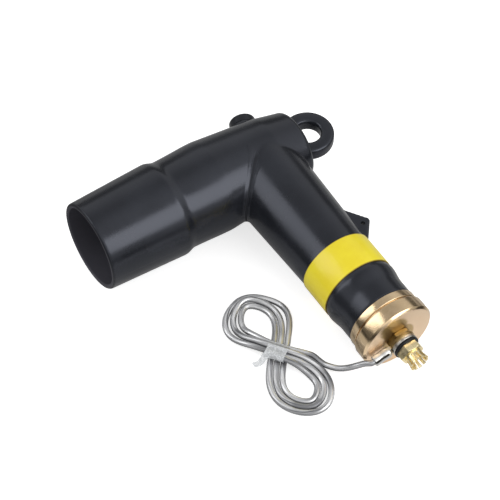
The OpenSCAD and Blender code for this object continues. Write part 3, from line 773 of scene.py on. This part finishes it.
# The free stretch, as steps from the exit in X and Y and heights above the ground
LEAD_STEPS = [(-5, 3.4, 20.3), (-7.9, 6.4, 17.1), (-10.5, 9.3, 13.8), (-12.7, 12.2, 10.7), (-15, 15.3, 8.1),
              (-17.3, 18.8, 6), (-19.6, 23.2, 4.4), (-22, 29, 3.3)]

# The hank's middle, its turn and half sizes, the angle where it starts, and places counted in turns
HANK = (LEAD_EXIT.x - 42.3, LEAD_EXIT.y + 53.5)
HANK_TURN = math.radians(-4.5)
HANK_HALF_WIDTH, HANK_HALF_LENGTH = 15.3, 50.0
JOINS_AT = math.radians(206.0)
JOINED, CROSSING, HANK_END = 0.012, 0.0722, 3.085


def eight(t):
    """Point of the hank's middle line at an angle from its crossing."""
    x = HANK_HALF_WIDTH * (math.sin(2 * t) + 0.15 * math.sin(4 * t))
    y = HANK_HALF_LENGTH * math.sin(t)
    c, s = math.cos(HANK_TURN), math.sin(HANK_TURN)
    return Vector((HANK[0] + x * c - y * s, HANK[1] + x * s + y * c, 0))


def near(turns, middle, width):
    """1 at a place in each turn, falling smoothly to 0 at a width from it."""
    away = abs((turns - middle + 0.5) % 1.0 - 0.5)
    return ease(max(0.0, 1 - away / width))


def lane_of(turns):
    """Lane of the lead in the hank: it swings into the first, and moves over by one at each turn's end."""
    lane = -1 - 0.98 * max(0.0, 1 - (turns + 0.0147) / 0.1) ** 2
    for whole in (1, 2, 3):
        lane += eased((turns - whole + 0.085) / 0.17)
    return lane


def hank_point(turns):
    """Point of the lead after a number of turns round the hank."""
    t = JOINS_AT - 2 * math.pi * turns
    ahead = (eight(t - 0.001) - eight(t + 0.001)).normalized()
    left = Vector((-ahead.y, ahead.x, 0))
    top = near(turns, 0.322, 0.14)
    pinch = near(turns, CROSSING, 0.085)
    fanned = near(turns, 0.19, 0.1)
    loose = 2.0 * near(turns, 0.47, 0.07) * (turns > 2) - 1.1 * near(turns, 0.87, 0.08) * (turns < 1)
    lane = lane_of(turns)
    lane = lane * (1 - 0.2 * top) + 0.26 * fanned * (lane + 1)
    lane += 0.3 * pinch * (0.5 - lane)
    round_length = 250.0
    run = round_length * ((turns - CROSSING + 0.5) % 1.0 - 0.5)
    point = eight(t) + left * (lane * LEAD_PITCH + loose)
    point.z = 2.3 + 4.5 * eased((29 - abs(run)) / 20)
    if 1 <= turns < 2:
        point.z += 2.9 * top
    if int(turns + 0.5 - CROSSING) % 2 == 1:
        point.z += 2.9 * pinch
    return point


def smooth_path(points, step):
    """A smooth line through points, cut into even steps."""
    fine = []
    for i in range(len(points) - 1):
        a, b, c, d = (points[max(0, min(len(points) - 1, i + k))] for k in (-1, 0, 1, 2))
        for k in range(8):
            t = k / 8
            fine.append(0.5 * (2 * b + (c - a) * t + (2 * a - 5 * b + 4 * c - d) * t * t
                               + (3 * b - a - 3 * c + d) * t ** 3))
    fine.append(points[-1])
    for _ in range(3):
        inner = [(fine[i - 1] + 2 * fine[i] + fine[i + 1]) / 4 for i in range(1, len(fine) - 1)]
        fine = [fine[0]] + inner + [fine[-1]]
    even, gone = [fine[0]], 0.0
    for before, after in zip(fine, fine[1:]):
        length = (after - before).length
        while gone + length >= step:
            k = (step - gone) / length
            before = before.lerp(after, k)
            even.append(before)
            length = (after - before).length
            gone = 0.0
        gone += length
    if (even[-1] - fine[-1]).length > 0.2 * step:
        even.append(fine[-1])
    return even


def make_lead(tie):
    """The earth lead from the lug's barrel, round its three turns to its cut end under the tie."""
    route = [LEAD_EXIT + ahead * LEAD_WAY for ahead in (-9, -4, 0, 2)]
    route += [Vector((LEAD_EXIT.x + x, LEAD_EXIT.y + y, z)) for x, y, z in LEAD_STEPS]
    count = 340
    route += [hank_point(JOINED + (HANK_END - JOINED) * i / count) for i in range(count + 1)]
    path = [p * MM for p in smooth_path(route, 1.6)]
    piece = tube("lead_braid", path, LEAD_D / 2, 16)
    done(piece, BRAID, "lead", "earth_lead", "lead_hank", smooth=60)


# Rubber elbow

def make_bushing_arm():
    """The outside of the bushing arm, from its closed back to the lip of the cuff."""
    lip_at = MOUTH_AT - LIP_ROUND
    lip_r = CUFF_R + (MOUTH_R - CUFF_R) * (lip_at - CUFF_AT) / (MOUTH_AT - CUFF_AT)
    return lathe(
        "jacket_skin",
        back_edge(BACK_AT, BACK_R, BACK_ROUND, 10) + [(SHOULDER_AT, SHOULDER_R), (BELLY_AT, BELLY_R)]
        + stepped(BELLY_AT, BELLY_R, WAIST_AT, WAIST_R, 10) + stepped(WAIST_AT, WAIST_R, CUFF_AT, CUFF_R, 10)
        + [(lip_at, lip_r)] + rounded(lip_at, MOUTH_R - LIP_ROUND, LIP_ROUND, 80, 0, 6),
        256, ON_BUSHING_ARM)


def make_arrester_arm():
    """The outside of the arrester arm, with the label's seat, the hem and the neck."""
    return lathe(
        "arrester_arm",
        [(0, ARM_R), (SEAT_FROM, SEAT_R), (SEAT_TO, SEAT_R)] + stepped(SEAT_TO, SEAT_R, HEM_AT, HEM_R, 5)
        + stepped(HEM_AT, HEM_R, NECK_AT, NECK_R, 8) + [(ARM_END, NECK_R)],
        256, ON_ARRESTER_ARM)


def make_eye():
    """The ring of the pulling eye with its rounded edges."""
    eye_at, eye_side, eye_r, hole_r, half_thick, edge_r = 48, 1.5, 19.6, 9.4, 5.5, 2.6
    flat, inner, outer = half_thick - edge_r, hole_r + edge_r, eye_r - edge_r
    return lathe(
        "eye_ring",
        rounded(-flat, inner, edge_r, 270, 180, 6) + rounded(-flat, outer, edge_r, 180, 90, 6)
        + rounded(flat, outer, edge_r, 90, 0, 6) + rounded(flat, inner, edge_r, 0, -90, 6),
        96, ON_ELBOW @ Matrix.Translation((eye_at * MM, eye_side * MM, 0)), ring=True)


def make_drain_tab():
    """The pointed tab for the drain wire."""
    root, high, low, half_thick = 25.6, -63.5, -103, 3
    tip = rounded(38, -87, 3, -15, 60, 5)
    tab = plate("drain_tab", [(root, low), (28.7, low)] + tip + [(root, high)], -half_thick, half_thick)
    settle(tab, ON_ELBOW)
    return tab


def make_bead():
    """The bead in the crease, along the line where the skins of both arms meet."""
    reach, open_by, steps, bead_r = 30.2, math.radians(84), 60, 1.5
    path = []
    for k in range(steps + 1):
        z = reach * math.sin(open_by * (1 - 2 * k / steps))
        x = y = -10.0
        for _ in range(20):
            x = -math.sqrt(max(1.0, (ARM_R + ARM_SLOPE * y) ** 2 - z * z))
            y = -math.sqrt(max(1.0, (BUSHING_R - BUSHING_SLOPE * x) ** 2 - z * z))
        sunk = 2.2 * (1 - eased((-x - 4) / 8))
        path.append(ON_ELBOW @ (Vector((x, y, z - math.copysign(sunk, z))) * MM))
    return round_bar("crease_bead", path, bead_r)


def cut_hollows(skin):
    """Cuts both arms' hollows and the hole for the drain wire."""
    wall = JACKET_WALL
    cut(skin, lathe(
        "bushing_hollow",
        [(-27.5, BACK_R - wall), (SHOULDER_AT, SHOULDER_R - wall), (BELLY_AT, BELLY_R - wall),
         (WAIST_AT, WAIST_R - wall), (CUFF_AT, CUFF_R - wall), (BORE_FROM, 31.2), (BORE_FROM, BORE_R),
         (MOUTH_AT - 1, BORE_R), (MOUTH_AT + 1, BORE_R + 2)], 160, ON_BUSHING_ARM))
    cut(skin, lathe(
        "arrester_hollow",
        [(0, ARM_R - wall), (SEAT_FROM, SEAT_R - wall), (SEAT_TO, SEAT_R - wall),
         (NECK_AT, NECK_R - wall), (ARM_END + 1, NECK_R - wall)], 160, ON_ARRESTER_ARM))
    in_tab = ON_ELBOW @ Matrix.Translation((34.5 * MM, -88 * MM, 0))
    cut(skin, lathe("tab_hole", [(-6, 1.6), (6, 1.6)], 32, in_tab))


def make_test_seat():
    """The boss that carries the test cap."""
    return lathe("cap_seat", [(15, 10.5), (TEST_SEAT_AT, 10.5)], 96, ON_TEST_POINT)


def make_jacket():
    """The moulded jacket: both arms, the eye and the tab run into one skin, then the hollows are cut."""
    skin = join(make_bushing_arm(), make_arrester_arm(), make_eye(), make_drain_tab(), make_test_seat(),
                make_bead())
    skin.name = "jacket_skin"
    apply_modifier(skin, "REMESH", mode="VOXEL", voxel_size=0.9 * MM, use_smooth_shade=True)
    apply_modifier(skin, "SMOOTH", factor=0.5, iterations=6)
    cut_hollows(skin)
    done(skin, JACKET, "jacket_rubber", "elbow_jacket")


def make_test_cap():
    """The push-on cap with its soft shoulder and a shallow ring in its crown."""
    top, cap_r, dip = TEST_SEAT_AT + 7, 10, 0.4
    cap = lathe(
        "cap_over_test_point",
        [(TEST_SEAT_AT, 9.4), (TEST_SEAT_AT, 9.7), (TEST_SEAT_AT + 0.3, cap_r)]
        + front_edge(top, cap_r, 1.8, 10) + [(top, 7.4), (top - dip, 7.0), (top - dip, 0.4)],
        96, ON_TEST_POINT)
    done(cap, CAP_RUBBER, "jacket_rubber", "test_cap")


# Label

def make_label():
    """The yellow film wrapped round the arm."""
    band = lathe(
        "label_sleeve",
        [(LABEL_FROM, SEAT_R), (LABEL_FROM, LABEL_R - 0.15)] + back_edge(LABEL_FROM, LABEL_R, 0.2, 4)
        + front_edge(LABEL_TO, LABEL_R, 0.2, 4) + [(LABEL_TO, SEAT_R)], 192, ON_ARRESTER_ARM, ring=True)
    done(band, LABEL, "label", "label_band", smooth=50)


# End cap and stud

def make_end_cap():
    """The turned cap: a ring against the rubber, a groove, the front ring and its chamfered face."""
    skirt_from, skirt_r, groove_r, chamfer_from = 151, 23.1, 25.8, 177.5
    cap = lathe(
        "turned_cap",
        [(skirt_from, skirt_r), (BACK_RING_FROM, skirt_r), (BACK_RING_FROM, BACK_RING_R - 0.4)]
        + back_edge(BACK_RING_FROM, BACK_RING_R, 0.4, 4) + front_edge(BACK_RING_TO, BACK_RING_R, 0.8, 6)
        + [(BACK_RING_TO, groove_r), (FRONT_RING_FROM, groove_r)]
        + back_edge(FRONT_RING_FROM, FRONT_RING_R, 0.9, 6)
        + rounded(chamfer_from, FRONT_RING_R - 0.3, 0.3, 90, 50, 3)
        + rounded(FACE_AT - 0.3, FACE_R, 0.3, 40, 0, 3) + [(FACE_AT, 5.0)], 256, ON_ARRESTER_ARM)
    done(cap, BRASS, "brass", "end_cap", smooth=30)


def chamfered_hexagon(name, width, low, high, chamfer):
    """A hexagon with turned corners, made upright at its height along the arm."""
    corner = width / math.sqrt(3)
    deselect()
    bpy.ops.mesh.primitive_cylinder_add(
        vertices=6, radius=corner * MM, depth=(high - low) * MM, location=(0, 0, (low + high) / 2 * MM),
        rotation=(0, 0, math.radians(30)))
    prism = bpy.context.object
    prism.name = name
    apply_place(prism)
    flat = width / 2 - 0.1
    turning = lathe(
        "turning", [(low, flat), (low + chamfer, corner), (high - chamfer, corner), (high, flat)], 96)
    cut(prism, turning, "INTERSECT")
    ease_edges(prism, 0.25, 40)
    return prism


def make_nut():
    """The hexagonal nut on the cap's face."""
    nut = chamfered_hexagon("face_nut", 17, FACE_AT, LUG_AT, 0.8)
    settle(nut, ON_ARRESTER_ARM)
    done(nut, NUT_BRASS, "brass", "cap_nut", smooth=30)


def make_barrel():
    """The lug's barrel, pulled in at its crimp, lying along +X."""
    crimp_r, bore_r = 3.75, 2.25
    barrel = lathe(
        "lug_barrel",
        [(10.1, 1.1), (10.6, 2.7), (11.3, 3.7), (12.2, BARREL_R), (16.2, BARREL_R), (17.0, crimp_r),
         (19.4, crimp_r), (20.2, BARREL_R), (23.6, BARREL_R), (BARREL_END, 3.7), (BARREL_END, bore_r),
         (15, bore_r)], 64)
    settle(barrel, Matrix.Translation((0, 0, BARREL_UP * MM)) @ Matrix.Rotation(math.radians(90), 4, "Y"))
    return barrel


def make_seam():
    """The slot that is cut down the barrel as its open seam."""
    half, start, end = 0.45, 12.8, BARREL_END + 1
    seam = plate("barrel_seam", [(start, -half), (end, -half), (end, half), (start, half)], 2.5, 4.9)
    settle(seam, Matrix.Translation((0, 0, BARREL_UP * MM)) @ Matrix.Rotation(SEAM_TURN, 4, "X"))
    return seam


def make_lug():
    """The tinned lug: a flat ring and a neck that opens into the barrel, with the barrel's open seam."""
    palm_r, edge = 9.8, 0.4
    palm = lathe(
        "lug_palm",
        [(0, STUD_HOLE_R), (0, palm_r - edge), (edge, palm_r), (LUG_THICK - edge, palm_r),
         (LUG_THICK, palm_r - edge), (LUG_THICK, STUD_HOLE_R)], 96, ring=True)
    neck = plate("lug_neck", [(6, -3.6), (12, -BARREL_R), (12, BARREL_R), (6, 3.6)], 0, LUG_THICK)
    cut(palm, neck, "UNION")
    cut(palm, make_barrel(), "UNION")
    cut(palm, make_seam())
    cut(palm, lathe("stud_way", [(-3, STUD_HOLE_R), (6, STUD_HOLE_R)], 64))
    turned = Matrix.Translation((0, 0, LUG_AT * MM)) @ Matrix.Rotation(math.pi + LUG_TURN, 4, "Z")
    settle(palm, ON_ARRESTER_ARM @ turned)
    palm.name = "crimped_lug"
    done(palm, LUG_TIN, "plated_steel", "ground_lug", smooth=30)


def ring_on_stud(name, low, high, radius, edge, count):
    """A ring round the stud, between two places along the arm, its outer edges rounded."""
    return lathe(
        name,
        [(low, STUD_HOLE_R)] + back_edge(low, radius, edge, count) + front_edge(high, radius, edge, count)
        + [(high, STUD_HOLE_R)], 96, ON_ARRESTER_ARM, ring=True)


def make_washer():
    """The plated washer with its rolled rims."""
    washer = ring_on_stud("rolled_washer", WASHER_FROM, SEAL_FROM, 9.8, 0.5, 4)
    done(washer, TINNED, "plated_steel", "lug_washer", smooth=30)


def make_seal():
    """The black ring under the collar, swollen where it is squeezed."""
    seal = ring_on_stud("squeezed_seal", SEAL_FROM, COLLAR_FROM, 9.6, 0.8, 5)
    done(seal, SEAL, "seal_rubber", "stud_seal")


def make_finger_slots(count, width):
    """The cutters of the slots between the fingers, joined into one piece."""
    slots = None
    for k in range(count):
        deselect()
        bpy.ops.mesh.primitive_cube_add(size=1, location=(6.5 * MM, 0, 202.7 * MM))
        slot = bpy.context.object
        slot.scale = (13 * MM, width * MM, 8 * MM)
        apply_place(slot)
        settle(slot, Matrix.Rotation(2 * math.pi * k / count, 4, "Z"))
        slots = slot if slots is None else join(slots, slot)
    return slots


def make_fingers():
    """The ring of twelve sprung fingers, which flares at its tips."""
    root, flare_from, tips, root_r, flare_by, bore_r = 195.7, 199.7, 204.2, 6.5, 0.9, 4.9
    rise = [(flare_from + (tips - flare_from) * k / 6, root_r + flare_by * (k / 6) ** 1.3) for k in range(7)]
    ring = lathe(
        "finger_ring",
        [(root, root_r)] + rise + [(tips, 5.8), (flare_from, bore_r), (flare_from - 2, bore_r)], 120)
    cut(ring, make_finger_slots(12, 1.2), use_self=True)
    ease_edges(ring, 0.18, 45)
    return ring


def make_stud():
    """The brass stud: its shank, its hexagonal collar and the ring of sprung fingers."""
    collar = chamfered_hexagon("finger_stud", 16, COLLAR_FROM, COLLAR_TO, 0.8)
    shank = lathe("shank", [(BACK_RING_FROM, 5), (192, 5)], 64)
    stud = join(collar, shank, make_fingers())
    stud.name = "finger_stud"
    settle(stud, ON_ARRESTER_ARM)
    done(stud, GOLD, "brass", "earth_stud", smooth=30)


# Tie

def film_strip(name, spots, wide, half_at):
    """A strip of film along spots, its width along one direction."""
    centre = smooth_path(spots, 0.6)
    across = 8
    deselect()
    bpy.ops.mesh.primitive_grid_add(x_subdivisions=len(centre) - 1, y_subdivisions=across, size=1)
    strip = bpy.context.object
    strip.name = name
    for index, vertex in enumerate(strip.data.vertices):
        j, i = divmod(index, len(centre))
        share = i / (len(centre) - 1)
        ruck = Vector((0, 0, 0.14 * math.sin(7 * share + 2.3 * j)))
        vertex.co = (centre[i] + wide * (2 * j / across - 1) * half_at(share) + ruck) * MM
    return strip


def make_tie():
    """Clear film pulled tight round the pinched crossing; one end falls to the surface beside it."""
    middle = hank_point(1 + CROSSING)
    middle.z = 0
    ahead = hank_point(1 + CROSSING + 0.01) - hank_point(1 + CROSSING - 0.01)
    ahead.z = 0
    ahead.normalize()
    left = Vector((-ahead.y, ahead.x, 0))
    up = Vector((0, 0, 1))
    wrap = [(-4.0, 4.9), (-4.9, 5.6), (-5.2, 7.0), (-4.6, 8.7), (-2.8, 9.5), (-1.0, 11.0), (0.7, 12.3),
            (2.8, 12.0), (5.0, 12.0), (7.3, 12.3), (9.3, 11.4), (9.9, 9.6), (9.3, 8.0), (8.2, 7.3)]
    tie = film_strip("film_tie", [middle + left * x + up * z for x, z in wrap], ahead, lambda share: 7.2)
    fall = [(8.6, 5.0, 10.6), (9.6, 6.4, 9.0), (10.2, 7.6, 6.0), (10.8, 8.8, 2.8), (11.7, 10.2, 0.9),
            (12.9, 11.8, 0.5), (14.2, 13.4, 0.6)]
    tail = film_strip("film_end", [middle + left * x + ahead * y + up * z for x, y, z in fall],
                      left * 0.6 - ahead * 0.8, lambda share: 3.0 - 0.8 * share)
    tie = join(tie, tail)
    apply_modifier(tie, "SOLIDIFY", thickness=0.25 * MM, offset=0.0)
    return done(tie, FILM, "tie", "hank_tie", smooth=60)


make_jacket()
make_test_cap()
make_label()
make_end_cap()
make_nut()
make_lug()
make_washer()
make_seal()
make_stud()
make_lead(make_tie())


# Carried-over pieces

def dress(stuff, *names):
    """Gives carried-over nodes their finish."""
    for name in names:
        for slot in nodes[name].material_slots:
            slot.material = stuff


dress(LINING, "elbow_insulation")
dress(INSERT, "inner_insert")
dress(COPPER, "contact_block", "probe")
dress(FOLLOWER, "arc_follower")
dress(CERAMIC, *(f"varistor_disc_{number}" for number in range(1, 6)))
dress(GLASS_FIBRE, "column_tube")
dress(ALUMINIUM, "lower_electrode", "test_electrode")
dress(SPRING_STEEL, "disc_spring_1", "disc_spring_2", "eye_core")
dress(SEAL, "cap_gasket")


# Studio

LEFT_LIGHT = Vector((-0.63, 0.516, 0.577)).normalized()
FRONT_LIGHT = Vector((0.34, -0.715, 0.61)).normalized()


def make_floor():
    """A pale floor that keeps the soft shadow; only its near part is bright enough to show in the polish, and
    there painted shade darkens it under the arms.
    """
    deselect()
    bpy.ops.mesh.primitive_plane_add(size=12)
    floor = bpy.context.object
    floor.name = "studio_floor"
    made, tree, shader = material("studio_floor", specular=0.0)
    rays = add(tree, "LightPath").outputs
    camera, glossy, clear = (rays[f"Is {kind} Ray"] for kind in ("Camera", "Glossy", "Transmission"))
    x, y = axes_of(tree, own_place(tree))[:2]
    rearward = times_plus(tree, x, 0.55, times(tree, y, 0.835))
    far = rising(tree, length_of(tree, x, y), 110, 250)
    far = times(tree, far, spread(tree, rearward, 50 * MM, 300 * MM, 0.94, 0.55))
    # Painted shade: in glossy rays the floor under the arms is dimmed, standing in for its shadow there.
    shade_under_arms = times(tree, rising(tree, y, -105, -75), 0.4)
    dim = times(tree, glossy, largest(tree, far, shade_under_arms))
    paint(tree, shader, blend(tree, dim, (0.82, 0.82, 0.82), (0, 0, 0)), 0.9)
    shine = minus(tree, times(tree, largest(tree, camera, glossy, clear), 0.7), times(tree, glossy, 0.5))
    wire(tree, shader, Emission_Color=(1, 1, 1), Emission_Strength=times(tree, shine, minus(tree, 1.0, dim)))
    floor.data.materials.append(made)
    deselect()


def either(tree, choice, first, second):
    """The first number, or the second where the choice is 1."""
    node = add(tree, "Mix", data_type="FLOAT")
    for value, socket in ((choice, node.inputs["Factor"]), (first, node.inputs[2]), (second, node.inputs[3])):
        feed(tree, value, socket)
    return node.outputs[0]


def make_sky():
    """Plain soft light from all round, white where it is seen; in the polish the room is dark low down."""
    world = bpy.data.worlds.new("studio_sky")
    world.use_nodes = True
    bpy.context.scene.world = world
    tree = world.node_tree
    background = tree.nodes["Background"]
    rays = add(tree, "LightPath").outputs
    direction = add(tree, "TexCoord").outputs["Generated"]
    height = axes_of(tree, direction)[2]
    facing = add(tree, "VectorMath", operation="DOT_PRODUCT")
    feed(tree, direction, facing.inputs[0])
    feed(tree, FRONT_LIGHT, facing.inputs[1])
    walls = spread(tree, height, 0.27, 0.36, 0.14, 0.68)
    ceiling = spread(tree, height, 0.6, 0.95, 1.0, 0.66)
    halo = spread(tree, facing.outputs["Value"], 0.3, 0.85, 0, 0.42)
    seen = largest(tree, rays["Is Camera Ray"], rays["Is Transmission Ray"])
    light = either(tree, seen, 0.6, 1.0)
    light = either(tree, rays["Is Glossy Ray"], light, times_plus(tree, walls, ceiling, halo))
    wire(tree, background, Color=(1, 1, 1), Strength=light)


def softbox(name, towards, width, height, power):
    """A soft panel of light that faces the elbow from a direction, its sizes in metres."""
    panel = bpy.data.lights.new(name, "AREA")
    panel.shape = "RECTANGLE"
    panel.size = width
    panel.size_y = height
    panel.energy = power
    lamp = bpy.data.objects.new(name, panel)
    bpy.context.scene.collection.objects.link(lamp)
    distance = 1.3
    lamp.matrix_world = (Matrix.Translation(Vector((0, 0, 0.03)) + towards * distance)
                         @ towards.to_track_quat("Z", "Y").to_matrix().to_4x4())


make_floor()
make_sky()
softbox("left_softbox", LEFT_LIGHT, width=0.6, height=1.2, power=3.9)
softbox("front_softbox", FRONT_LIGHT, width=1.0, height=0.9, power=6.8)

settings = bpy.context.scene.view_settings
settings.view_transform = "Standard"
